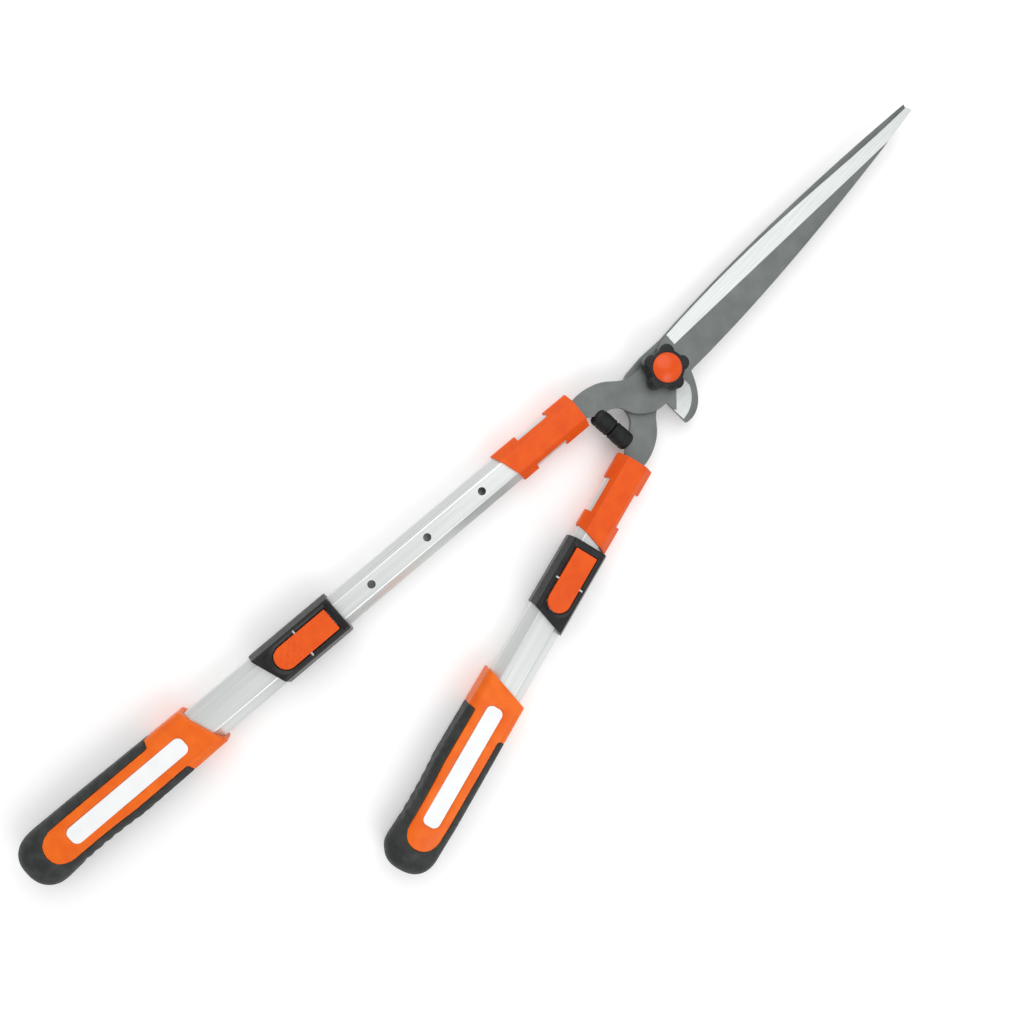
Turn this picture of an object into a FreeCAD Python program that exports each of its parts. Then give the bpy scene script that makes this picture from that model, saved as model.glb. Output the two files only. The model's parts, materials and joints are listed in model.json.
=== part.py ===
import FreeCAD, Part
import Sketcher
import math
import os

# Telescopic hedge shears, in millimetres. The origin is on the pivot axis, midway between the blades.
# +Z runs out of the front of the pivot, towards the tension knob. +Y runs along the closed blades to
# their tips. The left arm carries the front blade, the right arm the rear blade.
# An arm has its own frame: u runs from the tube's mouth down to the grip, v runs across, outwards.

DIMENSIONS = {
    # blades and tangs
    "blade_length": 284.0,
    "blade_width": 31.6,
    "blade_thickness": 4.0,
    "blade_gap": 0.2,
    "bevel_width": 12.5,
    "edge_thickness": 0.9,
    "tip_spine": 3.6,
    "tip_width": 4.6,
    "hook_reach": 40.5,
    "hook_grind_radius": 24.0,
    "hook_grind_depth": 1.9,
    "tang_width": 14.0,
    "tang_depth": 44.0,
    "insert_floor": 2.0,
    "tang_pin_radius": 2.0,
    "tang_pin_first": 14.0,
    "tang_pin_pitch": 20.0,
    # how the arms leave the pivot
    "root_across": 28.6,
    "root_down": 64.5,
    "arm_angle": 9.55,
    "arm_bias": 3.15,
    # tubes
    "tube_width": 25.0,
    "tube_height": 17.0,
    "tube_wall": 1.2,
    "tube_tail": 39.0,
    "tube_play": 0.9,
    "outer_wall": 1.3,
    "tube_end_gap": 9.0,
    "flat_share": 0.52,
    "side_share": 0.3,
    "hole_radius": 2.9,
    "hole_first": 91.0,
    "hole_pitch": 50.0,
    "hole_count": 4,
    "slide_gap": 0.25,
    "glide_length": 10.0,
    # ferrule
    "ferrule_gap": 0.4,
    "ferrule_slant": 9.0,
    "ferrule_wall": 1.8,
    "ferrule_cap": 2.0,
    "window_start": 20.0,
    "window_length": 28.0,
    "strap_inset": 1.7,
    "window_slope": 3.0,
    # lock collar and rocker
    "collar_length": 65.8,
    "collar_slant": 10.6,
    "collar_wall": 1.3,
    "collar_deck": 4.7,
    "collar_lip": 3.0,
    "collar_deck_share": 0.78,
    "collar_round": 2.5,
    "ledge_width": 2.0,
    "ledge_depth": 0.9,
    "rocker_start": 6.0,
    "rocker_length": 47.4,
    "rocker_width": 17.0,
    "rocker_thickness": 3.2,
    "rocker_gap": 0.5,
    "rocker_pivot": 31.0,
    "peg_window_back": 4.0,
    "rocker_pin_radius": 1.0,
    "rocker_pin_length": 22.0,
    "rocker_proud": 0.2,
    "lock_place": 21.0,
    "peg_lead": 0.8,
    "peg_radius": 2.2,
    "peg_gap": 0.3,
    "running_gap": 0.05,
    "spring_thickness": 0.4,
    "spring_width": 6.0,
    "spring_length": 14.0,
    "spring_inset": 3.0,
    # grip
    "grip_length": 151.8,
    "grip_slant": 12.0,
    "grip_past_tube": 43.0,
    "grip_side": 3.3,
    "grip_heel_side": 5.3,
    "grip_top": 3.3,
    "grip_heel_top": 4.8,
    "grip_corner": 12.0,
    "rubber_inset": 25.8,
    "rubber_rail": 5.0,
    "rubber_step": 3.0,
    "rib_inset": 12.0,
    "rubber_heel": 20.0,
    "rib_count": 11,
    "rib_pitch": 8.0,
    "rib_radius": 5.0,
    "rib_depth": 1.4,
    "inlay_inset": 20.8,
    "inlay_length": 93.0,
    "inlay_width": 12.6,
    "inlay_depth": 1.4,
    "inlay_gap": 0.15,
    "inlay_round": 4.5,
    "grip_sheath": 1.5,
    # pivot
    "bolt_radius": 4.0,
    "bolt_head_radius": 10.0,
    "bolt_head_height": 4.0,
    "bush_wall": 1.0,
    "washer_radius": 11.0,
    "washer_thickness": 1.0,
    "spring_washer_inset": 3.0,
    "nut_across": 13.0,
    "nut_height": 6.5,
    "knob_radius": 17.4,
    "knob_waist": 13.4,
    "knob_height": 9.0,
    "knob_lobes": 5,
    "lobe_radius": 5.6,
    "lobe_turn": 63.0,
    "knob_round": 1.4,
    "spring_washer_height": 1.2,
    "cap_seat": 2.0,
    "knob_eye_gap": 0.5,
    "cap_radius": 10.8,
    "cap_height": 3.6,
    # buffers between the tangs
    "bumper_radius": 7.0,
    "bumper_round": 4.0,
    "bumper_length": 16.6,
    "bumper_down": 57.0,
    "bumper_gap": 0.3,
    "tab_width": 6.0,
    "bumper_groove": 0.5,
}

doc = FreeCAD.newDocument("HedgeShears")
sheet = doc.addObject("Spreadsheet::Sheet", "Sizes")
for row, (alias, value) in enumerate(DIMENSIONS.items(), start=1):
    sheet.set("A%d" % row, alias)
    sheet.set("B%d" % row, str(value))
    sheet.setAlias("B%d" % row, alias)
doc.recompute()


class Size:
    """A length that carries both its value and the expression that a property is bound to."""

    def __init__(self, text, value):
        self.text = text
        self.value = value

    def combine(self, other, sign, value, swap=False):
        first, second = (other, self) if swap else (self, other)
        return Size("(%s %s %s)" % (first.text, sign, second.text), value)

    def __add__(self, other):
        other = size(other)
        return self.combine(other, "+", self.value + other.value)

    def __radd__(self, other):
        return size(other) + self

    def __sub__(self, other):
        other = size(other)
        return self.combine(other, "-", self.value - other.value)

    def __rsub__(self, other):
        return size(other) - self

    def __mul__(self, other):
        other = size(other)
        return self.combine(other, "*", self.value * other.value)

    def __rmul__(self, other):
        return size(other) * self

    def __truediv__(self, other):
        other = size(other)
        return self.combine(other, "/", self.value / other.value)

    def __neg__(self):
        return size(0) - self


def size(number):
    """Wraps a plain number, so that it mixes with sizes from the sheet."""
    if isinstance(number, Size):
        return number
    return Size("(%s)" % repr(float(number)), float(number))


def cell(alias):
    """A driving dimension from the sheet."""
    return Size("Sizes." + alias, float(sheet.get(alias)))


D = {alias: cell(alias) for alias in DIMENSIONS}
NODES = []


def bind(thing, path, amount):
    """Binds a property of a document object to a size."""
    thing.setExpression(path, size(amount).text)


# ---- building blocks -------------------------------------------------------------------------

def origin_plane(body, role):
    """The body's own origin plane with that role."""
    return next(f for f in body.Origin.OriginFeatures if f.Role == role)


def draw_loop(sketch, corners):
    """Adds one closed loop of lines to a sketch, each corner held by two bound distances."""
    first = sketch.GeometryCount
    count = len(corners)
    spots = [FreeCAD.Vector(size(a).value, size(b).value, 0) for a, b in corners]
    for i in range(count):
        sketch.addGeometry(Part.LineSegment(spots[i], spots[(i + 1) % count]))
    for i in range(count):
        line, after = first + i, first + (i + 1) % count
        sketch.addConstraint(Sketcher.Constraint("Coincident", line, 2, after, 1))
    for i, (across, up) in enumerate(corners):
        for kind, amount in (("DistanceX", across), ("DistanceY", up)):
            name = "%s_%d_%d" % (kind, first, i)
            index = sketch.addConstraint(
                Sketcher.Constraint(kind, -1, 1, first + i, 1, size(amount).value))
            sketch.renameConstraint(index, name)
            sketch.setExpression("Constraints." + name, size(amount).text)


def prism(name, plane, loops, start, length, rounding=None, picks=None):
    """A PartDesign body: loops drawn on an origin plane, padded from start over length.

    plane is XY (pad along +Z), XZ (pad along -Y, down the arm) or YZ (pad along +X).
    rounding is the fillet on the edges along the pad, or on the corners that picks chooses."""
    body = doc.addObject("PartDesign::Body", name)
    sketch = body.newObject("Sketcher::SketchObject", name + "_sketch")
    sketch.AttachmentSupport = [(origin_plane(body, plane + "_Plane"), "")]
    sketch.MapMode = "FlatFace"
    for loop in loops:
        draw_loop(sketch, loop)
    bind(sketch, "AttachmentOffset.Base.z", start)
    pad = body.newObject("PartDesign::Pad", name + "_pad")
    pad.Profile = sketch
    bind(pad, "Length", length)
    body.Tip = pad
    doc.recompute()
    if rounding is not None:
        edges = along_edges(pad.Shape, plane, picks)
        fillet = body.newObject("PartDesign::Fillet", name + "_fillet")
        fillet.Base = (pad, edges)
        bind(fillet, "Radius", rounding)
        body.Tip = fillet
        doc.recompute()
    return body


def along_edges(shape, plane, picks):
    """Names of the straight edges that run along the pad, at the corners that picks accepts."""
    axis = {"XY": FreeCAD.Vector(0, 0, 1), "XZ": FreeCAD.Vector(0, 1, 0),
            "YZ": FreeCAD.Vector(1, 0, 0)}[plane]
    names = []
    for number, edge in enumerate(shape.Edges, start=1):
        if not isinstance(edge.Curve, Part.Line):
            continue
        along = abs(edge.tangentAt(edge.FirstParameter).dot(axis)) > 0.999
        if along and (picks is None or picks(edge.CenterOfMass)):
            names.append("Edge%d" % number)
    return names


def cylinder(name, radius, height, spot, turn=None):
    """A Part cylinder with its base centre at spot; turn is (axis, angle)."""
    thing = doc.addObject("Part::Cylinder", name)
    bind(thing, "Radius", radius)
    bind(thing, "Height", height)
    return put(thing, spot, turn)


def put(thing, spot, turn=None):
    """Places an object, with each coordinate bound to its size."""
    if turn is not None:
        thing.Placement.Rotation = FreeCAD.Rotation(FreeCAD.Vector(*turn[0]), turn[1])
    for axis, amount in zip("xyz", spot):
        bind(thing, "Placement.Base." + axis, amount)
    return thing


def cut(name, base, tool):
    thing = doc.addObject("Part::Cut", name)
    thing.Base, thing.Tool = base, tool
    return thing


def fuse(name, shapes):
    thing = doc.addObject("Part::MultiFuse", name)
    thing.Shapes = shapes
    return thing


def group(name, things):
    """A compound, for a piece whose own placement is already taken."""
    thing = doc.addObject("Part::Compound", name)
    thing.Links = things
    return thing


def common(name, shapes):
    thing = doc.addObject("Part::MultiCommon", name)
    thing.Shapes = shapes
    return thing


def plain(name, shape):
    """A Part::Feature for a shape that sketches and primitives do not suit."""
    thing = doc.addObject("Part::Feature", name)
    thing.Shape = shape
    return thing


def node(thing, label):
    """Marks an object as a finished sub-part, and names its file."""
    thing.Label = label
    NODES.append(thing)
    return thing


def octagon(width, top, bottom=None, deck=None):
    """Corners of the tubes' faceted oval, with flats above and below and upright sides.

    deck is the top flat's share of the width, where it is not the tubes' own."""
    bottom = top if bottom is None else bottom
    flat, half = width * D["flat_share"] / 2, width / 2
    deck_half = flat if deck is None else width * deck / 2
    side = top * D["side_share"]
    return [(deck_half, top), (half, side), (half, -side), (flat, -bottom),
            (-flat, -bottom), (-half, -side), (-half, side), (-deck_half, top)]


def rectangle(left, right, low, high):
    return [(left, low), (right, low), (right, high), (left, high)]


# ---- the two arms ----------------------------------------------------------------------------

HAND = {"left": -1, "right": 1}
TRAVEL = D["hole_pitch"] * (D["hole_count"] - 1)
MOUTH = {"right": D["hole_first"] - D["lock_place"],
         "left": D["hole_first"] - D["lock_place"] + TRAVEL}
# The rocker's turn carries the peg down the arm, so at rest the peg stands short of its hole.
PEG_PLACE = D["lock_place"] - D["peg_lead"]
# The ferrule stops short of the collar, where the collapsed handle brings it closest.
FERRULE_LENGTH = D["hole_first"] - D["lock_place"] - D["ferrule_gap"]
OUTER_WIDTH = D["tube_width"] + (D["tube_play"] + D["outer_wall"]) * 2
OUTER_HALF = D["tube_height"] / 2 + D["tube_play"] + D["outer_wall"]
# The inner tube runs on past its last hole, and the outer tube takes all of it when collapsed.
TUBE_END = D["hole_first"] + TRAVEL + D["tube_tail"]
TUBE_LENGTH = TUBE_END - D["ferrule_cap"]
OUTER_LENGTH = TUBE_END + D["tube_end_gap"] - MOUTH["right"] - D["collar_lip"]
# The grip's places are measured from the collar's mouth.
GRIP_END = D["collar_lip"] + OUTER_LENGTH + D["grip_past_tube"]
GRIP_START = GRIP_END - D["grip_length"]
RUBBER_START = GRIP_START + D["rubber_inset"]
INLAY_START = GRIP_START + D["inlay_inset"]
GRIP_WIDTH = OUTER_WIDTH + D["grip_side"] * 2
GRIP_HEEL_WIDTH = OUTER_WIDTH + D["grip_heel_side"] * 2
GRIP_HALF = OUTER_HALF + D["grip_top"]
GRIP_HEEL_HALF = OUTER_HALF + D["grip_heel_top"]
BLADE_LOW = D["blade_gap"] / 2
BLADE_HIGH = BLADE_LOW + D["blade_thickness"]
FAR = size(60)
EDGE_ROUND = size(2)


def on_arm(thing, side):
    """Takes an object from the arm's frame (X across, -Y down the arm) to its place on the shears."""
    hand, bias = HAND[side], "Sizes.arm_bias * 1deg"
    across = "%d * Sizes.root_across" % hand
    down = "Sizes.root_down"
    thing.Placement.Rotation = FreeCAD.Rotation(FreeCAD.Vector(0, 0, 1), 1.0)
    thing.setExpression("Placement.Rotation.Angle",
                        "%d * Sizes.arm_angle + Sizes.arm_bias" % hand)
    thing.setExpression("Placement.Base.x",
                        "%s * cos(%s) + %s * sin(%s)" % (across, bias, down, bias))
    thing.setExpression("Placement.Base.y",
                        "%s * sin(%s) - %s * cos(%s)" % (across, bias, down, bias))
    return thing


def plan(name, corners, low, height, side, rounding=None, picks=None):
    """A prism along Z over an outline of (u, v) corners, v outwards on that side's arm."""
    loop = [(size(v) * HAND[side], -size(u)) for u, v in corners]
    return prism(name, "XY", [loop], low, height, rounding, picks)


def section(name, loops, start, length, rounding=EDGE_ROUND, picks=None):
    """A prism down the arm, from u = start, over loops drawn across the arm."""
    return prism(name, "XZ", loops, start, length, rounding, picks)


def tang_slot(name, side, width, start, length):
    """The room for the blade's tang in the pieces that hold it."""
    low, high = BLADE_LOW, BLADE_HIGH
    if side == "right":
        low, high = -BLADE_HIGH, -BLADE_LOW
    return section(name, [rectangle(-width / 2, width / 2, low, high)], start, length, None)


def tang_pin_set(name, side):
    """Two cross pins, flush with the tube's flats."""
    first, pitch = D["tang_pin_first"], D["tang_pin_pitch"]
    pins = [cylinder("%s_%d" % (name, i), D["tang_pin_radius"], D["tube_height"],
                     (size(0), -(first + pitch * i), -D["tube_height"] / 2)) for i in range(2)]
    return fuse(name, pins)


def build_inner_tube(side):
    width, half, wall = D["tube_width"], D["tube_height"] / 2, D["tube_wall"]
    tube = section("inner_tube_pipe_" + side,
                   [octagon(width, half), octagon(width - wall * 2, half - wall)],
                   D["ferrule_cap"], TUBE_LENGTH)
    tools = [cylinder("lock_hole_%s_%d" % (side, i), D["hole_radius"], D["tube_height"],
                      (size(0), -(D["hole_first"] + D["hole_pitch"] * i), size(0)))
             for i in range(int(D["hole_count"].value))]
    tools.append(tang_pin_set("tube_pin_holes_" + side, side))
    tube = cut("inner_tube_cut_" + side, tube, fuse("tube_holes_" + side, tools))
    node(on_arm(tube, side), "inner_tube_" + side)

    inner = [octagon(width, half)]
    play = D["tube_play"] - D["slide_gap"]
    glide = section("glide_ring_" + side,
                    [octagon(width + play * 2, half + play)] + inner,
                    TUBE_END - D["glide_length"], D["glide_length"])
    node(on_arm(glide, side), "inner_glide_" + side)


def build_tang_insert(side):
    width, half, wall = D["tube_width"], D["tube_height"] / 2, D["tube_wall"] + D["running_gap"]
    plug = section("insert_plug_" + side, [octagon(width - wall * 2, half - wall)],
                   D["ferrule_cap"], D["tang_depth"] + D["insert_floor"])
    slot = tang_slot("insert_slot_" + side, side, D["tang_width"], size(0), D["tang_depth"])
    holes = fuse("insert_holes_" + side, [slot, tang_pin_set("insert_pin_holes_" + side, side)])
    node(on_arm(cut("insert_cut_" + side, plug, holes), side), "tang_insert_" + side)
    node(on_arm(tang_pin_set("pins_" + side, side), side), "tang_pins_" + side)


def build_ferrule(side):
    wall, length = D["ferrule_wall"], FERRULE_LENGTH
    width, half = D["tube_width"], D["tube_height"] / 2
    outer = section("ferrule_block_" + side, [octagon(width + wall * 2, half + wall)],
                    size(0), length)
    trim = plan("ferrule_plan_" + side,
                [(-1, FAR), (length, width / 2 + wall),
                 (length - D["ferrule_slant"], -(width / 2 + wall)), (-1, -FAR)],
                -FAR, FAR * 2, side)
    bore = section("ferrule_bore_" + side, [octagon(width, half)], D["ferrule_cap"], length)
    slot = tang_slot("ferrule_slot_" + side, side, D["tang_width"], size(-1), D["ferrule_cap"] + 2)
    strap, start = D["tube_width"] / 2 - D["strap_inset"], D["window_start"]
    end, slope = start + D["window_length"], D["window_slope"]
    windows = [plan("ferrule_window_%s_%d" % (side, i),
                    [(start, strap * way), (start + slope, FAR * way), (end - slope, FAR * way),
                     (end, strap * way)], -FAR, FAR * 2, side)
               for i, way in enumerate((1, -1))]
    tools = fuse("ferrule_tools_" + side, [bore, slot] + windows)
    body = cut("ferrule_cut_" + side, common("ferrule_common_" + side, [outer, trim]), tools)
    node(on_arm(body, side), "ferrule_" + side)


def build_outer_tube(side):
    wall, mouth = D["outer_wall"], MOUTH[side]
    tube = section("outer_tube_pipe_" + side,
                   [octagon(OUTER_WIDTH, OUTER_HALF),
                    octagon(OUTER_WIDTH - wall * 2, OUTER_HALF - wall)],
                   mouth + D["collar_lip"], OUTER_LENGTH)
    room = rocker_room("tube_window_" + side, side, D["rocker_pivot"] - D["peg_window_back"],
                       OUTER_HALF / 2)
    node(on_arm(cut("outer_tube_cut_" + side, tube, room), side), "outer_tube_" + side)


def rocker_room(name, side, end, low):
    """The space that the rocker's square end swings in, down to a height of low."""
    half = D["rocker_width"] / 2 + D["rocker_gap"]
    start = MOUTH[side] + D["rocker_start"] - D["rocker_gap"]
    return plan(name, [(start, half), (MOUTH[side] + end, half), (MOUTH[side] + end, -half),
                       (start, -half)], low, FAR, side)


def build_lock(side):
    mouth, hand = MOUTH[side], HAND[side]
    length, wall = D["collar_length"], D["collar_wall"]
    top = OUTER_HALF + D["collar_deck"]
    width = OUTER_WIDTH + wall * 2
    block = section("collar_block_" + side, [octagon(width, top, OUTER_HALF + wall,
                                                      D["collar_deck_share"])],
                    mouth, length, D["collar_round"])
    trim = plan("collar_plan_" + side,
                [(mouth - 1, FAR), (mouth + length, width / 2),
                 (mouth + length - D["collar_slant"], -width / 2), (mouth - 1, -FAR)],
                -FAR, FAR * 2, side)
    gap = D["slide_gap"]
    lip = section("collar_lip_" + side,
                  [octagon(D["tube_width"] + gap * 2, D["tube_height"] / 2 + gap)],
                  mouth - 1, D["collar_lip"] + 1)
    bore = section("collar_bore_" + side, [octagon(OUTER_WIDTH, OUTER_HALF)],
                   mouth + D["collar_lip"], length)
    half = D["rocker_width"] / 2 + D["rocker_gap"]
    start = mouth + D["rocker_start"] - D["rocker_gap"]
    finish = start + D["rocker_length"] + D["rocker_gap"] * 2
    pocket = plan("collar_pocket_" + side,
                  [(start, half), (finish, half), (finish, -half), (start, -half)],
                  OUTER_HALF / 2, FAR, side, half - 0.2, lambda p: -p.y > finish.value - 1)
    ledge = D["ledge_width"]
    moat = plan("collar_ledge_" + side,
                [(start - ledge, half + ledge), (finish + ledge, half + ledge),
                 (finish + ledge, -half - ledge), (start - ledge, -half - ledge)],
                top - D["ledge_depth"], FAR, side, half + ledge - 0.2,
                lambda p: -p.y > finish.value)
    pivot_height = OUTER_HALF + D["collar_deck"] - D["rocker_thickness"] / 2 + D["rocker_proud"]
    pin_spot = (-D["rocker_pin_length"] / 2, -(mouth + D["rocker_pivot"]), pivot_height)
    along_x = ((0, 1, 0), 90)
    hole = cylinder("collar_pin_hole_" + side, D["rocker_pin_radius"], D["rocker_pin_length"],
                    pin_spot, along_x)
    tools = fuse("collar_tools_" + side, [lip, bore, pocket, moat, hole])
    collar = cut("collar_cut_" + side, common("collar_common_" + side, [block, trim]), tools)
    node(on_arm(collar, side), "lock_collar_" + side)

    low = pivot_height - D["rocker_thickness"] / 2
    half = D["rocker_width"] / 2
    start = mouth + D["rocker_start"]
    finish = start + D["rocker_length"]
    plate = plan("rocker_plate_" + side,
                 [(start, half), (finish, half), (finish, -half), (start, -half)],
                 low, D["rocker_thickness"], side, half - 0.2,
                 lambda p: -p.y > finish.value - 1)
    pin_hole = cylinder("rocker_pin_hole_" + side, D["rocker_pin_radius"] + D["running_gap"],
                        D["rocker_pin_length"], pin_spot, along_x)
    peg_low = D["tube_height"] / 2 + D["peg_gap"]
    peg_high = low + D["rocker_thickness"] / 2
    peg_spot = (size(0), -(mouth + PEG_PLACE), peg_low)
    peg_hole = cylinder("rocker_peg_hole_" + side, D["peg_radius"], peg_high - peg_low, peg_spot)
    rocker = cut("rocker_cut_" + side, plate,
                 fuse("rocker_tools_" + side, [pin_hole, peg_hole]))
    node(on_arm(rocker, side), "lock_rocker_" + side)
    node(on_arm(group("peg_group_" + side, [
        cylinder("peg_" + side, D["peg_radius"], peg_high - peg_low, peg_spot)]), side),
        "lock_peg_" + side)
    node(on_arm(group("pin_group_" + side, [
        cylinder("rocker_pin_body_" + side, D["rocker_pin_radius"], D["rocker_pin_length"],
                 pin_spot, along_x)]), side), "rocker_pin_" + side)
    build_leaf_spring(side, finish - D["spring_length"] - D["spring_inset"], low)


def build_leaf_spring(side, start, rocker_low):
    """An arched strip between the outer tube's flat and the rocker's tail."""
    base, thick = OUTER_HALF.value, D["spring_thickness"].value
    rise = rocker_low.value - base - thick - D["running_gap"].value
    near, far = -start.value, -(start + D["spring_length"]).value
    middle = (near + far) / 2

    def arch(lift):
        return Part.Arc(FreeCAD.Vector(0, near, base + lift),
                        FreeCAD.Vector(0, middle, base + rise + lift),
                        FreeCAD.Vector(0, far, base + lift))

    ends = [Part.LineSegment(FreeCAD.Vector(0, y, base), FreeCAD.Vector(0, y, base + thick))
            for y in (far, near)]
    wire = Part.Wire([line.toShape() for line in (arch(0), ends[0], arch(thick), ends[1])])
    strip = Part.Face(wire).extrude(FreeCAD.Vector(D["spring_width"].value, 0, 0))
    strip.translate(FreeCAD.Vector(-D["spring_width"].value / 2, 0, 0))
    thing = group("leaf_group_" + side, [plain("leaf_" + side, strip)])
    node(on_arm(thing, side), "rocker_spring_" + side)


def grip_envelope(name, side):
    """The grip's outer form: a rounded section, trimmed by its plan and by its side view."""
    mouth = MOUTH[side]
    start, end = mouth + GRIP_START, mouth + GRIP_END
    width, heel = GRIP_WIDTH, GRIP_HEEL_WIDTH
    half, high = GRIP_HALF, GRIP_HEEL_HALF
    block = section(name + "_block", [rectangle(-heel / 2, heel / 2, -high, high)],
                    start, end - start, D["grip_corner"])
    outline = plan(name + "_plan",
                   [(start, -width / 2), (start + D["grip_slant"], width / 2),
                    (end - D["rubber_heel"], heel / 2), (end, heel / 2 - 1),
                    (end, 1 - heel / 2), (end - D["rubber_heel"], -heel / 2)],
                   -FAR, FAR * 2, side, heel / 2 - 2.5, lambda p: -p.y > end.value - 1)
    profile = prism(name + "_side", "YZ",
                    [[(-start, -half), (-start, half), (-end, high), (-end, -high)]],
                    -FAR, FAR * 2, high - 3.5, lambda p: -p.y > end.value - 1)
    return common(name, [block, outline, profile])


def build_grip(side):
    mouth = MOUTH[side]
    start, end = mouth + GRIP_START, mouth + GRIP_END
    rail = GRIP_WIDTH / 2 - D["rubber_rail"]
    rubber, slant = mouth + RUBBER_START, D["grip_slant"]
    heel, step = end - D["rubber_heel"], D["rubber_step"]

    def panel(name):
        return plan(name, [(start - 1, -FAR), (start - 1, FAR), (rubber + slant, FAR),
                           (rubber + slant + step, rail), (heel, rail), (heel, -rail),
                           (rubber + step, -rail), (rubber, -FAR)],
                    -FAR, FAR * 2, side, rail - 0.3, lambda p: -p.y > heel.value - 1)

    def sheath(name):
        wall = D["grip_sheath"]
        return section(name, [octagon(OUTER_WIDTH + wall * 2, OUTER_HALF + wall)],
                       start - 1, mouth + D["collar_lip"] + OUTER_LENGTH + 3 - start)

    def inlay_block(name, gap):
        half = D["inlay_width"] / 2 + gap
        first = mouth + INLAY_START
        last = first + D["inlay_length"]
        return plan(name, [(first - gap, half), (last + gap, half), (last + gap, -half),
                           (first - gap, -half)],
                    GRIP_HALF - D["inlay_depth"], FAR, side, D["inlay_round"])

    bore = section("grip_bore_" + side, [octagon(OUTER_WIDTH, OUTER_HALF)], start - 2,
                   mouth + D["collar_lip"] + OUTER_LENGTH + 2 - start)
    core = fuse("grip_core_parts_" + side, [
        common("grip_panel_cut_" + side, [grip_envelope("grip_e1_" + side, side),
                                          panel("grip_panel_" + side)]),
        common("grip_sheath_cut_" + side, [grip_envelope("grip_e2_" + side, side),
                                           sheath("grip_sheath_" + side)])])
    tools = fuse("grip_tools_" + side, [bore, inlay_block("inlay_pocket_" + side,
                                                          D["inlay_gap"])])
    node(on_arm(cut("grip_core_cut_" + side, core, tools), side), "grip_core_" + side)

    inlay = common("inlay_common_" + side, [grip_envelope("grip_e3_" + side, side),
                                            inlay_block("inlay_body_" + side, size(0))])
    node(on_arm(inlay, side), "grip_inlay_" + side)

    ribs = [cylinder("rib_%s_%d" % (side, i), D["rib_radius"], FAR * 2,
                     (-(GRIP_HEEL_WIDTH / 2 + D["rib_radius"] - D["rib_depth"])
                      * HAND[side], -(rubber + D["rib_inset"] + D["rib_pitch"] * i), -FAR))
            for i in range(int(D["rib_count"].value))]
    away = fuse("rubber_tools_" + side, [panel("rubber_panel_" + side),
                                         sheath("rubber_sheath_" + side)] + ribs)
    rubber_body = cut("rubber_cut_" + side, grip_envelope("grip_e4_" + side, side), away)
    node(on_arm(rubber_body, side), "grip_rubber_" + side)


# ---- blades ----------------------------------------------------------------------------------

def turned(x, y, degrees):
    """A point turned about the pivot axis."""
    angle = math.radians(degrees)
    return FreeCAD.Vector(x * math.cos(angle) - y * math.sin(angle),
                          x * math.sin(angle) + y * math.cos(angle), 0)


def curve(points):
    spline = Part.BSplineCurve()
    spline.interpolate(points)
    return spline.toShape()


def polyline(points):
    return [Part.LineSegment(points[i], points[i + 1]).toShape() for i in range(len(points) - 1)]


def blade_outline(hand, root):
    """The blade from the pivot to its tip, and the tang down into the tube.

    hand is 1 for the blade whose spine is on the right (front) and -1 for the rear blade. Blade
    points share the blades' own axis; tang points are turned by the arms' bias."""
    long, wide = D["blade_length"].value, D["blade_width"].value
    tip, bias = D["tip_spine"].value, D["arm_bias"].value
    half = wide / 2

    def blade_point(along, across):
        return FreeCAD.Vector(hand * across, along * long, 0)

    def tang_point(across, down):
        return turned(-hand * across, -down, bias)

    spine = [blade_point(0.06, half), blade_point(0.25, half * 1.05),
             blade_point(0.42, half * 0.98), blade_point(0.7, half * 0.7), blade_point(1.0, tip)]
    edge = [blade_point(0.995, tip - D["tip_width"].value), blade_point(0.82, -half * 0.26),
            blade_point(0.55, -half * 0.7), blade_point(0.3, -half * 0.95),
            blade_point(0.06, -half * 0.96)]
    across, down = D["root_across"].value, D["root_down"].value
    lean = math.radians(D["arm_angle"].value)
    tang_half, depth = D["tang_width"].value / 2, D["tang_depth"].value

    def shank(u, v):
        return tang_point(across + u * math.sin(lean) + v * math.cos(lean),
                          down + u * math.cos(lean) - v * math.sin(lean))

    outer = [edge[-1], tang_point(half * 0.87, half * 0.9), tang_point(half * 1.13, half * 1.66),
             tang_point(across - 2, down * 0.55), tang_point(across + 5, down * 0.75),
             shank(0, tang_half)]
    inner = [shank(0, -tang_half), tang_point(across - 18, down * 0.75),
             tang_point(across - 24, down * 0.645), tang_point(half * -0.05, down * 0.62),
             tang_point(-half * 0.6, down * 0.53), tang_point(-half * 0.97, down * 0.41),
             tang_point(-half * 1.12, down * 0.25)]
    cheek = [inner[-1]] + root + [spine[0]]
    edges = ([curve(spine)] + polyline([spine[-1], edge[0]]) + [curve(edge), curve(outer)]
             + polyline([shank(0, tang_half), shank(depth, tang_half), shank(depth, -tang_half),
                         shank(0, -tang_half)]) + [curve(inner)] + polyline(cheek))
    return Part.Wire(edges)


def bumper_tab(hand, low):
    """The tab on the tang's inner edge that carries the rubber buffer."""
    width, down = D["tab_width"].value, D["bumper_down"].value
    reach = D["root_across"].value - 8
    tab = Part.makeBox(reach - 4, width, D["blade_thickness"].value,
                       FreeCAD.Vector(4 if hand < 0 else -reach, -down - width / 2, low))
    tab.rotate(FreeCAD.Vector(0, 0, 0), FreeCAD.Vector(0, 0, 1), D["arm_bias"].value)
    return tab


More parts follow.
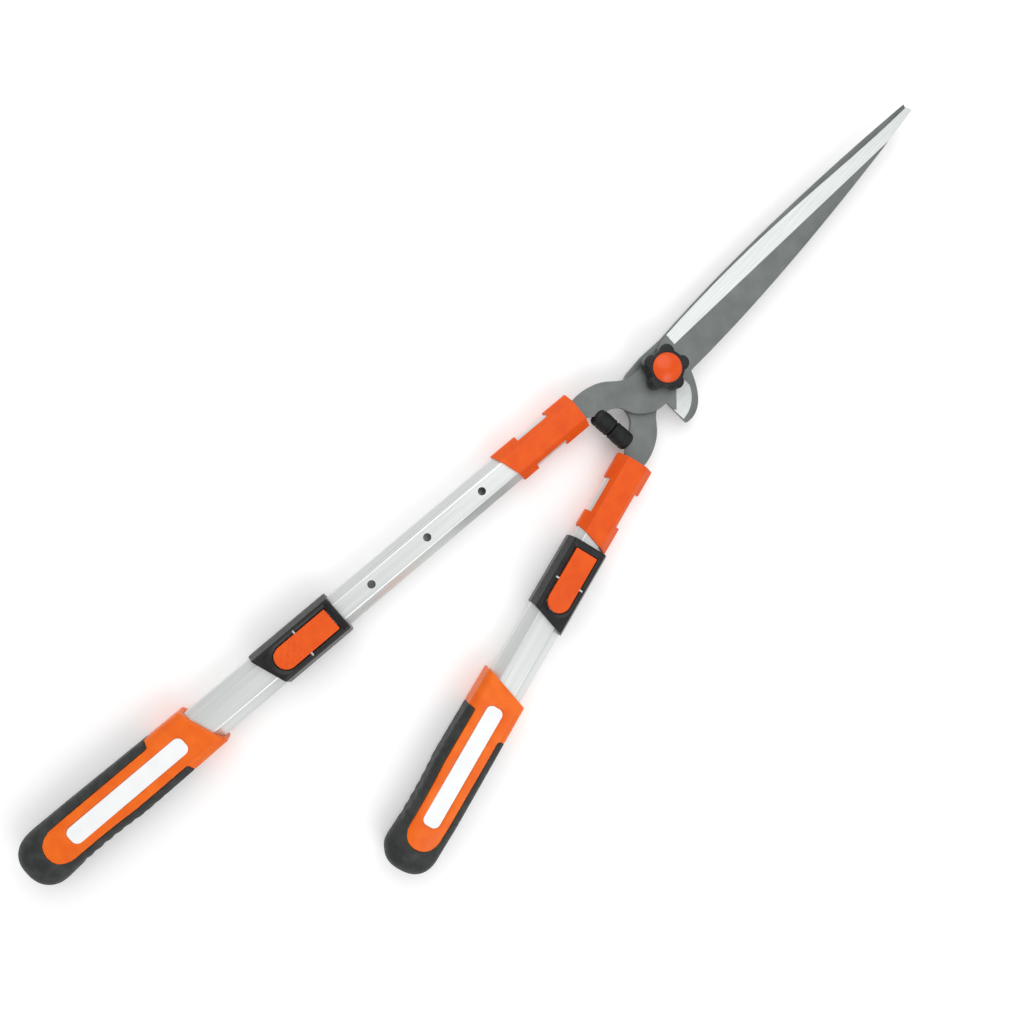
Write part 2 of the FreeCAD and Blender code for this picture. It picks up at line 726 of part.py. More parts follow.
def bevel_tool(hand):
    """A slab that takes the ground bevel off the blade's outer face, along its cutting edge."""
    half, long = D["blade_width"].value / 2, D["blade_length"].value
    high = BLADE_HIGH.value
    start = FreeCAD.Vector(-hand * (half * 0.96 - 8.6), 0.07 * long, high)
    end = FreeCAD.Vector(hand * 8.4, long, high)
    along = (end - start).normalize()
    across = FreeCAD.Vector(0, 0, 1).cross(along).normalize() * hand
    depth = D["blade_thickness"].value - D["edge_thickness"].value
    width = D["bevel_width"].value
    low_side = across * width - FreeCAD.Vector(0, 0, depth)
    reach = 3
    corner = [start, start + low_side * reach, start + low_side * reach + FreeCAD.Vector(0, 0, 40),
              start + FreeCAD.Vector(0, 0, 40)]
    face = Part.Face(Part.makePolygon(corner + [corner[0]]))
    return face.extrude(along * (long * 1.2))


def build_blades():
    tall, low, long = D["blade_thickness"].value, BLADE_LOW.value, D["blade_length"].value
    half = D["blade_width"].value / 2
    front_root = [FreeCAD.Vector(half * 1.74, -half * 0.85, 0), FreeCAD.Vector(half * 1.1, -half * 0.2, 0)]
    front = Part.Face(blade_outline(1, front_root)).extrude(FreeCAD.Vector(0, 0, tall))
    front.translate(FreeCAD.Vector(0, 0, low))
    front = front.cut(bevel_tool(1)).fuse(bumper_tab(1, low)).removeSplitter()

    rear_root = [FreeCAD.Vector(-half * 1.1, -half * 0.2, 0)]
    rear = Part.Face(blade_outline(-1, rear_root)).extrude(FreeCAD.Vector(0, 0, tall))
    rear.translate(FreeCAD.Vector(0, 0, low))
    rear = rear.cut(bevel_tool(-1))
    rear = rear.mirror(FreeCAD.Vector(0, 0, 0), FreeCAD.Vector(0, 0, 1))
    rear = rear.fuse([bumper_tab(-1, -low - tall), cutter_hook(-low - tall)])
    rear = rear.cut(hook_grind()).removeSplitter()

    hole = cylinder("front_pivot_hole", D["bolt_radius"] + D["bush_wall"] + D["running_gap"],
                    FAR, (size(0), size(0), -FAR / 2))
    square = D["bolt_radius"] * 2
    neck = prism("rear_square_hole", "XY", [rectangle(-square / 2, square / 2, -square / 2,
                                                      square / 2)], -FAR / 2, FAR)
    for side, shape, middle in (("left", front, hole), ("right", rear, neck)):
        pins = on_arm(tang_pin_set("blade_pin_holes_" + side, side), side)
        raw = plain("forging_" + side, shape)
        tools = fuse("blade_holes_" + side, [middle, pins])
        label = "blade_front" if side == "left" else "blade_rear"
        node(cut("blade_cut_" + side, raw, tools), label)


def cutter_hook(low):
    """The claw beside the rear blade's pivot, for cutting twigs, with its ground inner face."""
    half, reach = D["blade_width"].value / 2, D["hook_reach"].value
    tall = D["blade_thickness"].value
    tip = FreeCAD.Vector(reach, -half * 0.85, 0)
    outer = curve([FreeCAD.Vector(half * 0.9, half * 1.1, 0), FreeCAD.Vector(reach * 0.72, half * 0.62, 0),
                   FreeCAD.Vector(reach * 0.95, half * 0.02, 0), tip])
    inner = polyline([tip, FreeCAD.Vector(half * 1.2, -half * 0.85, 0), FreeCAD.Vector(0, -half * 0.4, 0),
                      FreeCAD.Vector(half * 0.9, half * 1.1, 0)])
    hook = Part.Face(Part.Wire([outer] + inner)).extrude(FreeCAD.Vector(0, 0, tall))
    hook.translate(FreeCAD.Vector(0, 0, low))
    return hook


def hook_grind():
    """The hollow-ground facet of the claw: a shallow cone that bites its inner side."""
    half, radius = D["blade_width"].value / 2, D["hook_grind_radius"].value
    depth, top = D["hook_grind_depth"].value, -BLADE_LOW.value
    centre = FreeCAD.Vector(half * 0.82, -half * 0.89, top - depth)
    cone = Part.makeCone(radius * 0.4, radius, depth, centre)
    reach = D["hook_reach"].value
    keep = Part.makeBox(reach, half * 1.5, depth * 2,
                        FreeCAD.Vector(half * 1.1, -half, top - depth))
    return cone.common(keep)


def bumper_profile():
    """Half of a buffer's lengthwise section: a rounded face, two grooves and a rounder tail."""
    radius, length = D["bumper_radius"].value, D["bumper_length"].value
    face, notch = D["bumper_gap"].value / 2, D["bumper_groove"].value
    front, tail = D["bumper_round"].value * 0.4, D["bumper_round"].value
    end = face + length

    def spot(along, out):
        return FreeCAD.Vector(along, out, 0)

    def line(start, finish):
        return Part.LineSegment(start, finish).toShape()

    def corner(first, middle, last):
        return Part.Arc(first, middle, last).toShape()

    slack = 1 - math.sqrt(0.5)
    edges = [line(spot(face, 0), spot(face, radius - front)),
             corner(spot(face, radius - front), spot(face + front * slack, radius - front * slack),
                    spot(face + front, radius))]
    last = face + front
    for place in (0.2, 0.62):
        middle = face + length * place
        edges.append(line(spot(last, radius), spot(middle - notch, radius)))
        edges.append(corner(spot(middle - notch, radius), spot(middle, radius - notch),
                            spot(middle + notch, radius)))
        last = middle + notch
    edges.append(line(spot(last, radius), spot(end - tail, radius)))
    edges.append(corner(spot(end - tail, radius), spot(end - tail * slack, radius - tail * slack),
                        spot(end, radius - tail)))
    edges.append(line(spot(end, radius - tail), spot(end, 0)))
    edges.append(line(spot(end, 0), spot(face, 0)))
    return Part.Face(Part.Wire(edges))


def build_bumpers():
    for side, blade in (("left", finished("blade_front")), ("right", finished("blade_rear"))):
        # The turned seam lies on the side away from the tab, which the blade's cut leaves alone.
        profile = bumper_profile()
        profile.rotate(FreeCAD.Vector(0, 0, 0), FreeCAD.Vector(1, 0, 0), -90)
        bar = profile.revolve(FreeCAD.Vector(0, 0, 0), FreeCAD.Vector(1, 0, 0), 360)
        if HAND[side] < 0:
            bar.rotate(FreeCAD.Vector(0, 0, 0), FreeCAD.Vector(0, 1, 0), 180)
            bar.rotate(FreeCAD.Vector(0, 0, 0), FreeCAD.Vector(1, 0, 0), 180)
        else:
            bar.rotate(FreeCAD.Vector(0, 0, 0), FreeCAD.Vector(1, 0, 0), 180)
        bar.translate(FreeCAD.Vector(0, -D["bumper_down"].value, 0))
        bar.rotate(FreeCAD.Vector(0, 0, 0), FreeCAD.Vector(0, 0, 1), D["arm_bias"].value)
        node(cut("bumper_cut_" + side, plain("bumper_bar_" + side, bar), blade), "bumper_" + side)


def finished(label):
    """The finished sub-part with that label."""
    return next(thing for thing in NODES if thing.Label == label)


# ---- pivot -----------------------------------------------------------------------------------

def ring(name, inner, outer, low, height):
    return cut(name, cylinder(name + "_disc", outer, height, (size(0), size(0), low)),
               cylinder(name + "_eye", inner, height, (size(0), size(0), low)))


def build_pivot():
    radius, high, gap = D["bolt_radius"], BLADE_HIGH, D["running_gap"]
    zero = size(0)
    head_low = -high - D["bolt_head_height"]
    stack = high + D["blade_gap"] / 2
    washer_top = stack + D["washer_thickness"]
    knob_low = washer_top + D["spring_washer_height"] + D["running_gap"]
    head = cylinder("bolt_head", D["bolt_head_radius"], D["bolt_head_height"], (zero, zero, head_low))
    shank = cylinder("bolt_shank", radius, knob_low + D["nut_height"] + high, (zero, zero, -high))
    neck = prism("bolt_neck", "XY", [rectangle(-radius, radius, -radius, radius)], -high,
                 D["blade_thickness"])
    node(fuse("bolt_group", [head, shank, neck]), "pivot_bolt")
    node(ring("bush_ring", radius, radius + D["bush_wall"], -BLADE_LOW, stack + BLADE_LOW),
         "pivot_bush")
    node(ring("washer_ring", radius, D["washer_radius"], stack, D["washer_thickness"]),
         "pivot_washer")
    node(ring("spring_washer_ring", radius, D["washer_radius"] - D["spring_washer_inset"],
              washer_top, D["spring_washer_height"]), "spring_washer")

    across = D["nut_across"]
    tip = across / math.sqrt(3)
    side = tip / 2
    hexagon = [(tip, zero), (side, across / 2), (-side, across / 2), (-tip, zero),
               (-side, -across / 2), (side, -across / 2)]
    thread = cylinder("nut_thread", radius + gap, D["nut_height"], (zero, zero, knob_low))
    node(cut("nut_cut", prism("nut_hex", "XY", [hexagon], knob_low, D["nut_height"]), thread),
         "pivot_nut")
    build_knob(knob_low, hexagon)


def build_knob(low, hexagon):
    zero, height, lobe = size(0), D["knob_height"], D["lobe_radius"]
    hub = cylinder("knob_hub", D["knob_waist"], height, (zero, zero, low))
    lobes = []
    for i in range(int(D["knob_lobes"].value)):
        angle = math.radians(D["lobe_turn"].value + i * 360 / D["knob_lobes"].value)
        reach = D["knob_radius"] - lobe
        lobes.append(cylinder("knob_lobe_%d" % i, lobe, height,
                              (reach * math.cos(angle), reach * math.sin(angle), low)))
    star = fuse("knob_star", [hub] + lobes)
    doc.recompute()
    top = (low + height).value
    soft_edge = D["knob_round"].value
    rim = [(n, soft_edge, soft_edge) for n, e in enumerate(star.Shape.Edges, start=1)
           if e.BoundBox.ZLength < 1e-6 and abs(e.CenterOfMass.z - top) < 1e-6]
    soft = doc.addObject("Part::Fillet", "knob_soft")
    soft.Base = star
    soft.Edges = rim
    seat = cylinder("knob_cap_seat", D["cap_radius"], D["cap_seat"],
                    (zero, zero, low + height - D["cap_seat"]))
    socket = prism("knob_socket", "XY", [hexagon], low, D["nut_height"])
    pierce = cylinder("knob_eye", D["bolt_radius"] + D["knob_eye_gap"], height, (zero, zero, low))
    node(cut("knob_cut", soft, fuse("knob_tools", [seat, socket, pierce])), "tension_knob")

    rise, radius = D["cap_height"].value, D["cap_radius"].value
    ball = (radius ** 2 + rise ** 2) / (2 * rise)
    base = top - D["cap_seat"].value
    dome = Part.makeSphere(ball, FreeCAD.Vector(0, 0, top + rise - ball))
    plug = Part.makeCylinder(radius, D["cap_seat"].value + rise, FreeCAD.Vector(0, 0, base))
    node(plain("cap_dome", plug.common(dome)), "knob_cap")


# ---- assembly --------------------------------------------------------------------------------

build_blades()
build_pivot()
build_bumpers()
for arm in ("left", "right"):
    build_inner_tube(arm)
    build_tang_insert(arm)
    build_ferrule(arm)
    build_outer_tube(arm)
    build_lock(arm)
    build_grip(arm)
doc.recompute()

failed = [o.Label for o in doc.Objects if "Invalid" in o.State or "Error" in o.State]
if failed:
    raise RuntimeError("these objects failed: " + ", ".join(failed))
os.makedirs("parts", exist_ok=True)
for thing in NODES:
    shape = thing.Shape
    if shape.isNull() or not shape.isValid() or not shape.Solids:
        raise RuntimeError(thing.Label + " has no valid solid")
    shape.exportStep("parts/%s.step" % thing.Label)
    print(thing.Label, len(shape.Solids), "solid(s)", round(shape.Volume), "mm3")
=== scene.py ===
import bpy
import bmesh
import math
from mathutils import Matrix, Vector
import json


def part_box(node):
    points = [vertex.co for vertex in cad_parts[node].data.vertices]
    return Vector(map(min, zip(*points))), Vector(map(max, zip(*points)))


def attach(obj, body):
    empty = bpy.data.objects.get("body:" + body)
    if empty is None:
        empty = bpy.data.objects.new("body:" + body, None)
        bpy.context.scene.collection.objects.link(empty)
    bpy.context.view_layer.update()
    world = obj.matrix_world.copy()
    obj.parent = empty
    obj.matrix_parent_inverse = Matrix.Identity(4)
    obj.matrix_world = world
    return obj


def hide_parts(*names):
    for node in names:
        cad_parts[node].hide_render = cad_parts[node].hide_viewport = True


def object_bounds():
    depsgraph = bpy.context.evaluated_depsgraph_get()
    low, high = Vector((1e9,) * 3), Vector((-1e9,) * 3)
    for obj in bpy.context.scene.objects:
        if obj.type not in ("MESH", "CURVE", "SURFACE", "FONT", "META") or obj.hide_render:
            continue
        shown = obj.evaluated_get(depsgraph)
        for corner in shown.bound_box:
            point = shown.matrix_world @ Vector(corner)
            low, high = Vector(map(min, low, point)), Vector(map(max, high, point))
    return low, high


# The looks of the telescopic hedge shears, in metres, around the CAD model.

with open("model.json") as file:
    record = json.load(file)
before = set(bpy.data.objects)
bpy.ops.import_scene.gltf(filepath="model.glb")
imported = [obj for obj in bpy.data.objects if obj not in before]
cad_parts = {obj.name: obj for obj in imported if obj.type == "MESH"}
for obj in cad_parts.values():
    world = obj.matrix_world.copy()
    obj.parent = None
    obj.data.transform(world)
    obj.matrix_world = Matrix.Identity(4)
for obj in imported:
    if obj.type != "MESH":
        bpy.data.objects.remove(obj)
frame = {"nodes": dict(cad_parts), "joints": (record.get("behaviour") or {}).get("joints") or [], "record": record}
CAD_LOW, CAD_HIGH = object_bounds()
NODES = frame["nodes"]
JOINTS = {joint["name"]: joint for joint in frame["joints"]}
BODY_OF = {node: body for body, nodes in frame["record"]["behaviour"]["bodies"].items()
           for node in nodes}
SLOT_OF = {row["node"]: row["material_slot"] for row in frame["record"]["subparts"]}
SIDES = ("left", "right")
MM = 0.001


# ---- the arms' own frames ------------------------------------------------------------------------

class Arm:
    """One arm's frame: down runs along the tube to the grip, across is its local X, both level."""

    def __init__(self, side):
        lock = JOINTS[side + "_rocker"]
        self.side = side
        self.hand = -1 if side == "left" else 1
        self.down = Vector(JOINTS[side + "_extend"]["axis"])
        self.across = Vector(lock["axis"])
        self.pivot = Vector(lock["pos_m"])
        self.turn = math.atan2(self.across.y, self.across.x)

    def local(self, point):
        """(distance past the rocker's pin, distance outwards, height) of a point."""
        apart = point - self.pivot
        return apart.dot(self.down), apart.dot(self.across) * self.hand, point.z


ARMS = {side: Arm(side) for side in SIDES}


# ---- camera, floor and light ---------------------------------------------------------------------

VIEW_DISTANCE = 0.7092
VIEW_TILT = math.radians(9.74)
VIEW_FROM = math.radians(223.66)
VIEW_ROLL = math.radians(43.6)
VIEW_LENS = 34.98
AIM_ACROSS = -0.0208
AIM_ALONG = -0.0205
NEAR_CLIP = 0.01

KEY_SPOT = (-0.7, 0.5, 1.3)
KEY_SIZE = 2.0
KEY_POWER = 14
FILL_SPOT = (0.9, -0.5, 1.1)
FILL_SIZE = 1.0
FILL_POWER = 6
SKY_STRENGTH = 0.62
FLOOR_SIZE = 12
FLOOR_GAP = 0.5 * MM
FLOOR_WHITE = (0.93, 0.93, 0.93)
FLOOR_ROUGH = 0.9
FLOOR_GLOW = 0.1


def add_camera():
    middle = (CAD_LOW + CAD_HIGH) / 2
    aim = Vector((middle.x + AIM_ACROSS, middle.y + AIM_ALONG, 0))
    back = Vector((math.sin(VIEW_TILT) * math.cos(VIEW_FROM),
                   math.sin(VIEW_TILT) * math.sin(VIEW_FROM), math.cos(VIEW_TILT)))
    up = Vector((-math.sin(VIEW_ROLL), math.cos(VIEW_ROLL), 0))
    right = up.cross(back).normalized()
    up = back.cross(right)
    data = bpy.data.cameras.new("camera")
    data.lens = VIEW_LENS
    data.clip_start = NEAR_CLIP
    camera = bpy.data.objects.new("camera", data)
    turn = Matrix((right, up, back)).transposed().to_4x4()
    camera.matrix_world = Matrix.Translation(aim + back * VIEW_DISTANCE) @ turn
    bpy.context.scene.collection.objects.link(camera)
    bpy.context.scene.camera = camera


def add_area_light(name, spot, size, power):
    data = bpy.data.lights.new(name, "AREA")
    data.shape = "DISK"
    data.size = size
    data.energy = power
    light = bpy.data.objects.new(name, data)
    light.location = spot
    light.rotation_euler = (-Vector(spot)).to_track_quat("-Z", "Y").to_euler()
    bpy.context.scene.collection.objects.link(light)


def add_studio():
    world = bpy.data.worlds.new("studio")
    bpy.context.scene.world = world
    world.use_nodes = True
    sky = world.node_tree.nodes["Background"]
    sky.inputs["Color"].default_value = (1, 1, 1, 1)
    sky.inputs["Strength"].default_value = SKY_STRENGTH
    add_area_light("key", KEY_SPOT, KEY_SIZE, KEY_POWER)
    add_area_light("fill", FILL_SPOT, FILL_SIZE, FILL_POWER)
    bpy.ops.mesh.primitive_plane_add(size=FLOOR_SIZE, location=(0, 0, CAD_LOW.z - FLOOR_GAP))
    floor = bpy.context.object
    floor.name = "floor"
    floor.data.materials.append(floor_material())
    bpy.context.scene.view_settings.view_transform = "Standard"


# ---- materials -----------------------------------------------------------------------------------

def floor_material():
    """Plain white that glows a little, which keeps the floor's shadows faint."""
    material = bpy.data.materials.new("floor_white")
    material.use_nodes = True
    shader = material.node_tree.nodes["Principled BSDF"]
    shader.inputs["Base Color"].default_value = (*FLOOR_WHITE, 1)
    shader.inputs["Roughness"].default_value = FLOOR_ROUGH
    shader.inputs["Emission Color"].default_value = (1, 1, 1, 1)
    shader.inputs["Emission Strength"].default_value = FLOOR_GLOW
    return material


SPECULAR = 0.3
BUMP_STRENGTH = 0.6
COLOUR_MIX_SOCKETS = (6, 7)
COLOUR_MIX_RESULT = 2
VALUE_MIX_SOCKETS = (2, 3)
VALUE_MIX_RESULT = 0
LEVEL_UP = 0.998
GROUND_UP = 0.994
SIDE_UP = 0.75
SLOPE_UP = 0.85


class Recipe:
    """Builds one procedural material: texture nodes that feed a Principled shader."""

    def __init__(self, name, metal=0.0, coat=0.0):
        self.material = bpy.data.materials.new(name)
        self.material.use_nodes = True
        self.tree = self.material.node_tree
        self.shader = self.tree.nodes["Principled BSDF"]
        self.shader.inputs["Metallic"].default_value = metal
        self.shader.inputs["Coat Weight"].default_value = coat
        self.shader.inputs["Specular IOR Level"].default_value = SPECULAR
        self.spot = self.tree.nodes.new("ShaderNodeTexCoord").outputs["Object"]

    def link(self, source, target):
        self.tree.links.new(source, target)

    def noise(self, scale, detail=3.0, stretch=None, turn=0.0):
        """A noise value; stretch scales it along the turned axes, for grain that runs one way."""
        texture = self.tree.nodes.new("ShaderNodeTexNoise")
        texture.inputs["Scale"].default_value = scale
        texture.inputs["Detail"].default_value = detail
        spot = self.spot
        if stretch is not None:
            turned = self.tree.nodes.new("ShaderNodeMapping")
            turned.inputs["Rotation"].default_value = (0, 0, -turn)
            self.link(spot, turned.inputs["Vector"])
            scaled = self.tree.nodes.new("ShaderNodeMapping")
            scaled.inputs["Scale"].default_value = stretch
            self.link(turned.outputs["Vector"], scaled.inputs["Vector"])
            spot = scaled.outputs["Vector"]
        self.link(spot, texture.inputs["Vector"])
        return texture.outputs["Fac"]

    def span(self, value, low, high, start=0.0, end=1.0):
        """The value's stretch from low to high, spread over start to end."""
        ramp = self.tree.nodes.new("ShaderNodeMapRange")
        for key, amount in (("From Min", low), ("From Max", high), ("To Min", start), ("To Max", end)):
            ramp.inputs[key].default_value = amount
        self.link(value, ramp.inputs["Value"])
        return ramp.outputs["Result"]

    def blend(self, share, first, second):
        """A colour between two, which are colours or sockets."""
        mix = self.tree.nodes.new("ShaderNodeMix")
        mix.data_type = "RGBA"
        self.link(share, mix.inputs["Factor"])
        for index, colour in zip(COLOUR_MIX_SOCKETS, (first, second)):
            socket = mix.inputs[index]
            if isinstance(colour, tuple):
                socket.default_value = (*colour, 1)
            else:
                self.link(colour, socket)
        return mix.outputs[COLOUR_MIX_RESULT]

    def mix_value(self, share, first, second):
        """A number between two, which are floats or sockets."""
        mix = self.tree.nodes.new("ShaderNodeMix")
        self.link(share, mix.inputs["Factor"])
        for index, value in zip(VALUE_MIX_SOCKETS, (first, second)):
            socket = mix.inputs[index]
            if isinstance(value, float):
                socket.default_value = value
            else:
                self.link(value, socket)
        return mix.outputs[VALUE_MIX_RESULT]

    def colour(self, source):
        self.link(source, self.shader.inputs["Base Color"])

    def rough(self, source):
        self.link(source, self.shader.inputs["Roughness"])

    def bump(self, source, depth):
        node = self.tree.nodes.new("ShaderNodeBump")
        node.inputs["Strength"].default_value = BUMP_STRENGTH
        node.inputs["Distance"].default_value = depth
        self.link(source, node.inputs["Height"])
        self.link(node.outputs["Normal"], self.shader.inputs["Normal"])

    def facing_up(self):
        """The upward share of the flat normal, which tells a ground bevel from a level face."""
        geometry = self.tree.nodes.new("ShaderNodeNewGeometry")
        split = self.tree.nodes.new("ShaderNodeSeparateXYZ")
        self.link(geometry.outputs["True Normal"], split.inputs["Vector"])
        size = self.tree.nodes.new("ShaderNodeMath")
        size.operation = "ABSOLUTE"
        self.link(split.outputs["Z"], size.inputs[0])
        return size.outputs[0]


def plastic(name, dark, light, rough, grain, coat=0.0):
    """Moulded plastic: faint cloudiness in the colour, a fine spark-eroded grain in the surface."""
    recipe = Recipe(name, coat=coat)
    cloud = recipe.span(recipe.noise(90, 4), 0.35, 0.65)
    recipe.colour(recipe.blend(cloud, dark, light))
    recipe.rough(recipe.span(recipe.noise(350, 5), 0.3, 0.7, rough - 0.06, rough + 0.08))
    recipe.bump(recipe.noise(grain, 6), 0.12 * MM)
    return recipe.material


def blade_steel():
    """Bead-blasted forged steel, with the ground bevels bright and brushed along the blade."""
    recipe = Recipe("blade_steel", metal=0.85)
    up = recipe.facing_up()
    steep = recipe.span(up, LEVEL_UP, GROUND_UP)
    not_side = recipe.span(up, SIDE_UP, SLOPE_UP)
    both = recipe.tree.nodes.new("ShaderNodeMath")
    both.operation = "MULTIPLY"
    recipe.link(steep, both.inputs[0])
    recipe.link(not_side, both.inputs[1])
    ground = both.outputs[0]
    cloud = recipe.span(recipe.noise(60, 5), 0.3, 0.7)
    dull = recipe.blend(cloud, (0.15, 0.166, 0.16), (0.205, 0.222, 0.215))
    streak = recipe.noise(260, 4, stretch=(6.0, 0.12, 1.0))
    bright = recipe.blend(recipe.span(streak, 0.3, 0.7), (0.4, 0.42, 0.415), (0.56, 0.58, 0.575))
    recipe.colour(recipe.blend(ground, dull, bright))
    recipe.rough(recipe.mix_value(ground, recipe.span(recipe.noise(900, 5), 0.3, 0.7, 0.38, 0.52),
                                  recipe.span(streak, 0.3, 0.7, 0.26, 0.4)))
    recipe.bump(recipe.mix_value(ground, recipe.noise(2200, 4), streak), 0.06 * MM)
    return recipe.material


def bright_steel():
    recipe = Recipe("turned_steel", metal=1.0)
    recipe.colour(recipe.blend(recipe.span(recipe.noise(500, 4), 0.3, 0.7),
                               (0.5, 0.51, 0.52), (0.68, 0.69, 0.7)))
    recipe.rough(recipe.span(recipe.noise(800, 5), 0.3, 0.7, 0.2, 0.36))
    recipe.bump(recipe.noise(1800, 3), 0.03 * MM)
    return recipe.material


def aluminium(arm):
    """Satin anodised extrusion, with die lines that run down that arm's tube."""
    recipe = Recipe("tube_aluminium_" + arm.side, metal=0.55)
    lines = recipe.noise(700, 3, stretch=(1.0, 0.012, 1.0), turn=arm.turn)
    broad = recipe.noise(110, 2, stretch=(1.0, 0.03, 1.0), turn=arm.turn)
    recipe.colour(recipe.blend(recipe.span(broad, 0.35, 0.65), (0.62, 0.645, 0.635), (0.75, 0.77, 0.76)))
    recipe.rough(recipe.span(lines, 0.3, 0.7, 0.27, 0.42))
    recipe.bump(lines, 0.05 * MM)
    return recipe.material


def rubber(name, dark, light):
    recipe = Recipe(name)
    dust = recipe.span(recipe.noise(140, 6), 0.4, 0.75)
    recipe.colour(recipe.blend(dust, dark, light))
    recipe.rough(recipe.span(recipe.noise(500, 5), 0.3, 0.7, 0.48, 0.68))
    recipe.bump(recipe.noise(1500, 6), 0.16 * MM)
    return recipe.material


def make_materials():
    """One finish for each slot of the record, and more where a slot's pieces look different; the grip core's
    finish is a lighter, yellower orange that paints its highlight into the colour.
    """
    finishes = {
        "forged_steel": blade_steel(),
        "bright_steel": bright_steel(),
        "orange_plastic": plastic("orange_matt", (0.72, 0.076, 0.0), (0.79, 0.096, 0.0), 0.42, 1300),
        "orange_gloss": plastic("orange_gloss", (0.72, 0.068, 0.0), (0.79, 0.085, 0.0), 0.34, 500, 0.15),
        "black_plastic": plastic("black_matt", (0.007, 0.007, 0.008), (0.014, 0.015, 0.016), 0.3, 1500),
        "black_rubber": rubber("grip_rubber", (0.021, 0.024, 0.023), (0.043, 0.048, 0.046)),
        "bumper_rubber": rubber("bumper_rubber", (0.005, 0.006, 0.006), (0.013, 0.014, 0.014)),
        # a lighter, yellower copy of the orange plastic for the grip core: a painted highlight in its colour
        "orange_grip": plastic("orange_grip", (0.78, 0.115, 0.001), (0.85, 0.15, 0.004), 0.4, 1300),
        "pale_plastic": plastic("pale_satin", (0.84, 0.85, 0.855), (0.88, 0.89, 0.895), 0.34, 1100),
        "grey_plastic": plastic("grey_matt", (0.09, 0.095, 0.1), (0.13, 0.135, 0.14), 0.5, 1200),
    }
    for side, arm in ARMS.items():
        finishes["aluminium_" + side] = aluminium(arm)
    return finishes


def finish_of(node, finishes):
    slot = SLOT_OF[node]
    if slot == "aluminium":
        return finishes["aluminium_" + node.rsplit("_", 1)[1]]
    if node.startswith("bumper"):
        return finishes["bumper_rubber"]
    # the grip core takes the lighter orange, which carries its painted highlight
    if node.startswith("grip_core"):
        return finishes["orange_grip"]
    return finishes[slot]


# ---- finer meshes --------------------------------------------------------------------------------

BEVEL_FROM = 22
BEVEL_SEGMENTS = 3
SHARP_FROM = 50
WELD_DISTANCE = 2e-6
FLAT_WITHIN = 0.6
SOFTEN_FACTOR = 0.5


def apply_modifiers(thing):
    """Gives the object the mesh that its modifiers make, and takes them off."""
    graph = bpy.context.evaluated_depsgraph_get()
    mesh = bpy.data.meshes.new_from_object(thing.evaluated_get(graph))
    thing.modifiers.clear()
    thing.data = mesh


def copy_of(node):
    """A new object with the node's shape, its flat faces joined up again."""
    mesh = bpy.data.meshes.new("fine_" + node)
    work = bmesh.new()
    work.from_mesh(NODES[node].data)
    bmesh.ops.remove_doubles(work, verts=work.verts, dist=WELD_DISTANCE)
    bmesh.ops.dissolve_limit(work, angle_limit=math.radians(FLAT_WITHIN), verts=work.verts,
                             edges=work.edges)
    work.to_mesh(mesh)
    work.free()
    thing = bpy.data.objects.new("fine_" + node, mesh)
    bpy.context.scene.collection.objects.link(thing)
    return thing


def stand_for(thing, node, finishes):
    """Gives the new piece the node's finish and body, and hides the node."""
    thing.data.materials.clear()
    thing.data.materials.append(finish_of(node, finishes))
    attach(thing, BODY_OF[node])
    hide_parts(node)


def rounded(node, radius, finishes):
    """The node with its sharp edges broken, as a moulded or tumbled piece has them."""
    thing = copy_of(node)
    bevel = thing.modifiers.new("edge", "BEVEL")
    bevel.width = radius
    bevel.segments = BEVEL_SEGMENTS
    bevel.limit_method = "ANGLE"
    bevel.angle_limit = math.radians(BEVEL_FROM)
    apply_modifiers(thing)
    thing.data.shade_smooth()
    thing.data.set_sharp_from_angle(angle=math.radians(SHARP_FROM))
    weighted = thing.modifiers.new("normals", "WEIGHTED_NORMAL")
    weighted.keep_sharp = True
    apply_modifiers(thing)
    stand_for(thing, node, finishes)


def moulded(node, voxel, passes, finishes, shape=None):
    """The node remeshed and softened, then worked by shape, which moves each vertex."""
    thing = copy_of(node)
    remesh = thing.modifiers.new("skin", "REMESH")
    remesh.mode = "VOXEL"
    remesh.voxel_size = voxel
    soften = thing.modifiers.new("soften", "SMOOTH")
    soften.factor = SOFTEN_FACTOR
    soften.iterations = passes
    apply_modifiers(thing)
    if shape is not None:
        for vertex in thing.data.vertices:
            vertex.co = shape(vertex.co)
    thing.data.shade_smooth()
    stand_for(thing, node, finishes)


# ---- the pieces ----------------------------------------------------------------------------------

HEEL_LENGTH = 20 * MM
HEEL_BLEND = 26 * MM
HEEL_POWER = 2.4
WAIST_DEPTH = 1.8 * MM
WAIST_FROM_END = 46 * MM
WAIST_LENGTH = 34 * MM


def fade(value, low, high, soft):
    """1 between low and high, falling to 0 over soft outside them."""
    return max(0.0, min(1.0, (value - low) / soft + 1, (high - value) / soft + 1))


def smooth(share):
    share = max(0.0, min(1.0, share))
    return share * share * (3 - 2 * share)


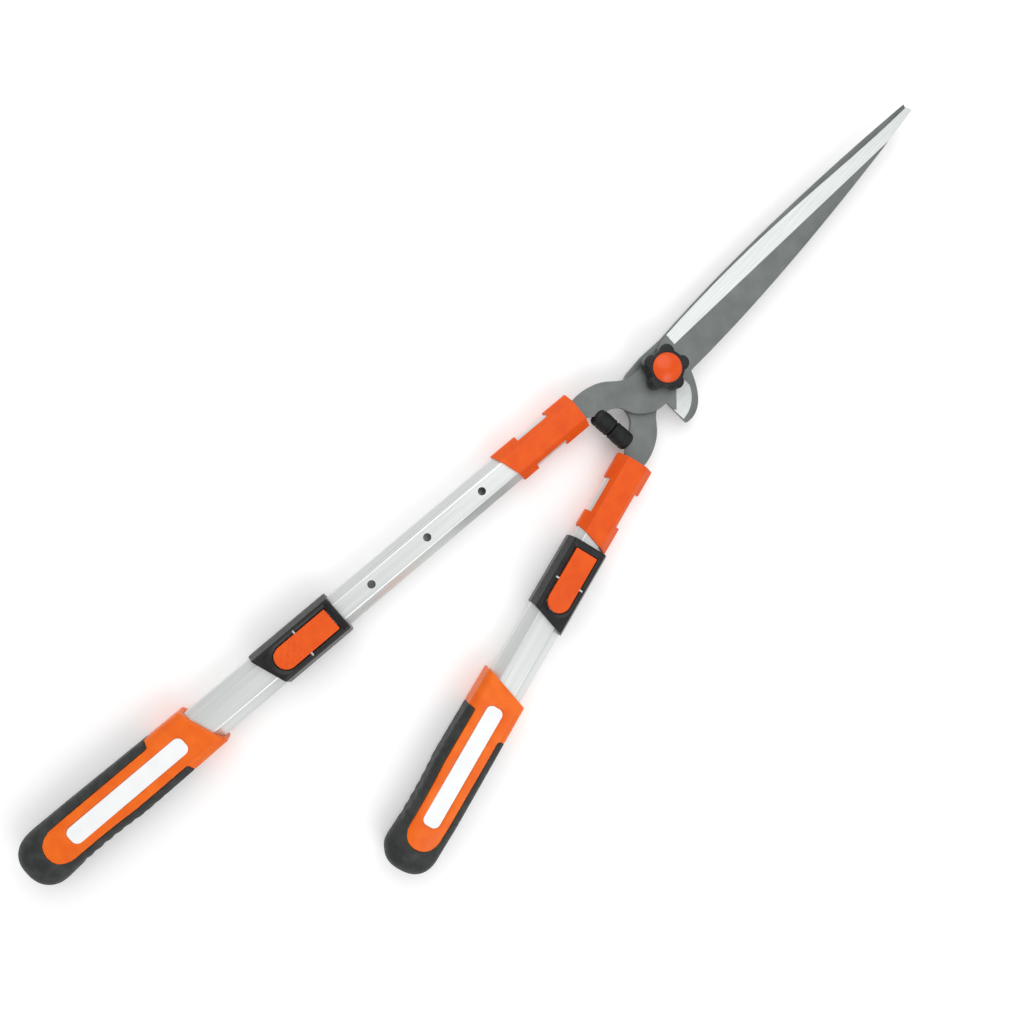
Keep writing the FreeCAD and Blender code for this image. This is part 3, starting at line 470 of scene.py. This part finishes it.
def grip_form(arm):
    """Rounds the grip's heel into a dome, and draws in the inner flank just before it."""
    mesh = NODES["grip_rubber_" + arm.side].data
    spots = [arm.local(vertex.co) for vertex in mesh.vertices]
    end = max(along for along, out, height in spots)
    half = max(abs(out) for along, out, height in spots)
    tall = max(abs(height) for along, out, height in spots)
    start = end - HEEL_LENGTH

    def shape(point):
        along, out, height = arm.local(point)
        past = max(0.0, along - start)
        size = ((abs(out) / half) ** HEEL_POWER + (abs(height) / tall) ** HEEL_POWER
                + (past / HEEL_LENGTH) ** HEEL_POWER)
        share = smooth((along - start + HEEL_BLEND) / HEEL_BLEND)
        shrink = 1.0
        if size > 1:
            shrink = 1 + (size ** (-1 / HEEL_POWER) - 1) * share
        out, height = out * shrink, height * shrink
        along = along if past == 0 else start + past * shrink
        if out < 0:
            near = (along - (end - WAIST_FROM_END)) / WAIST_LENGTH
            out *= 1 - WAIST_DEPTH / half * max(0.0, 1 - near * near)
        centre = arm.pivot + arm.down * along + arm.across * (out * arm.hand)
        return Vector((centre.x, centre.y, height))
    return shape


DOT_PITCH = 2.9 * MM
DOT_HEIGHT = 0.3 * MM
DOT_START = 2 * MM
DOT_END = 20 * MM
DOT_REACH = 6.4 * MM
DOT_FADE = 1 * MM
TOP_SKIN = 0.1 * MM


def rocker_dots(arm):
    """Low bumps in staggered rows on the rocker's tail, for the thumb."""
    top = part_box("lock_rocker_" + arm.side)[1].z

    def shape(point):
        along, out, height = arm.local(point)
        if height < top - TOP_SKIN:
            return point
        wave = math.cos(math.pi * along / DOT_PITCH) * math.cos(math.pi * out / DOT_PITCH)
        inside = (fade(along, DOT_START, DOT_END, DOT_FADE)
                  * fade(out, -DOT_REACH, DOT_REACH, DOT_FADE))
        return point + Vector((0, 0, DOT_HEIGHT * max(0.0, wave) * inside))
    return shape


# voxel size and softening passes of the moulded pieces, and edge radius of the rounded ones
RUBBER_SKIN = (0.8 * MM, 4)
CORE_SKIN = (0.8 * MM, 3)
COLLAR_SKIN = (0.5 * MM, 9)
ROCKER_SKIN = (0.35 * MM, 3)
BUMPER_SKIN = (0.3 * MM, 2)
KNOB_SKIN = (0.35 * MM, 3)
INLAY_EDGE = 0.4 * MM
FERRULE_EDGE = 0.5 * MM


def build_pieces(finishes):
    for node, thing in NODES.items():
        thing.data.materials.clear()
        thing.data.materials.append(finish_of(node, finishes))
    for side, arm in ARMS.items():
        moulded("grip_rubber_" + side, *RUBBER_SKIN, finishes, grip_form(arm))
        moulded("grip_core_" + side, *CORE_SKIN, finishes, grip_form(arm))
        rounded("grip_inlay_" + side, INLAY_EDGE, finishes)
        rounded("ferrule_" + side, FERRULE_EDGE, finishes)
        moulded("lock_collar_" + side, *COLLAR_SKIN, finishes)
        moulded("lock_rocker_" + side, *ROCKER_SKIN, finishes, rocker_dots(arm))
        moulded("bumper_" + side, *BUMPER_SKIN, finishes)
    moulded("tension_knob", *KNOB_SKIN, finishes)


add_camera()
add_studio()
build_pieces(make_materials())
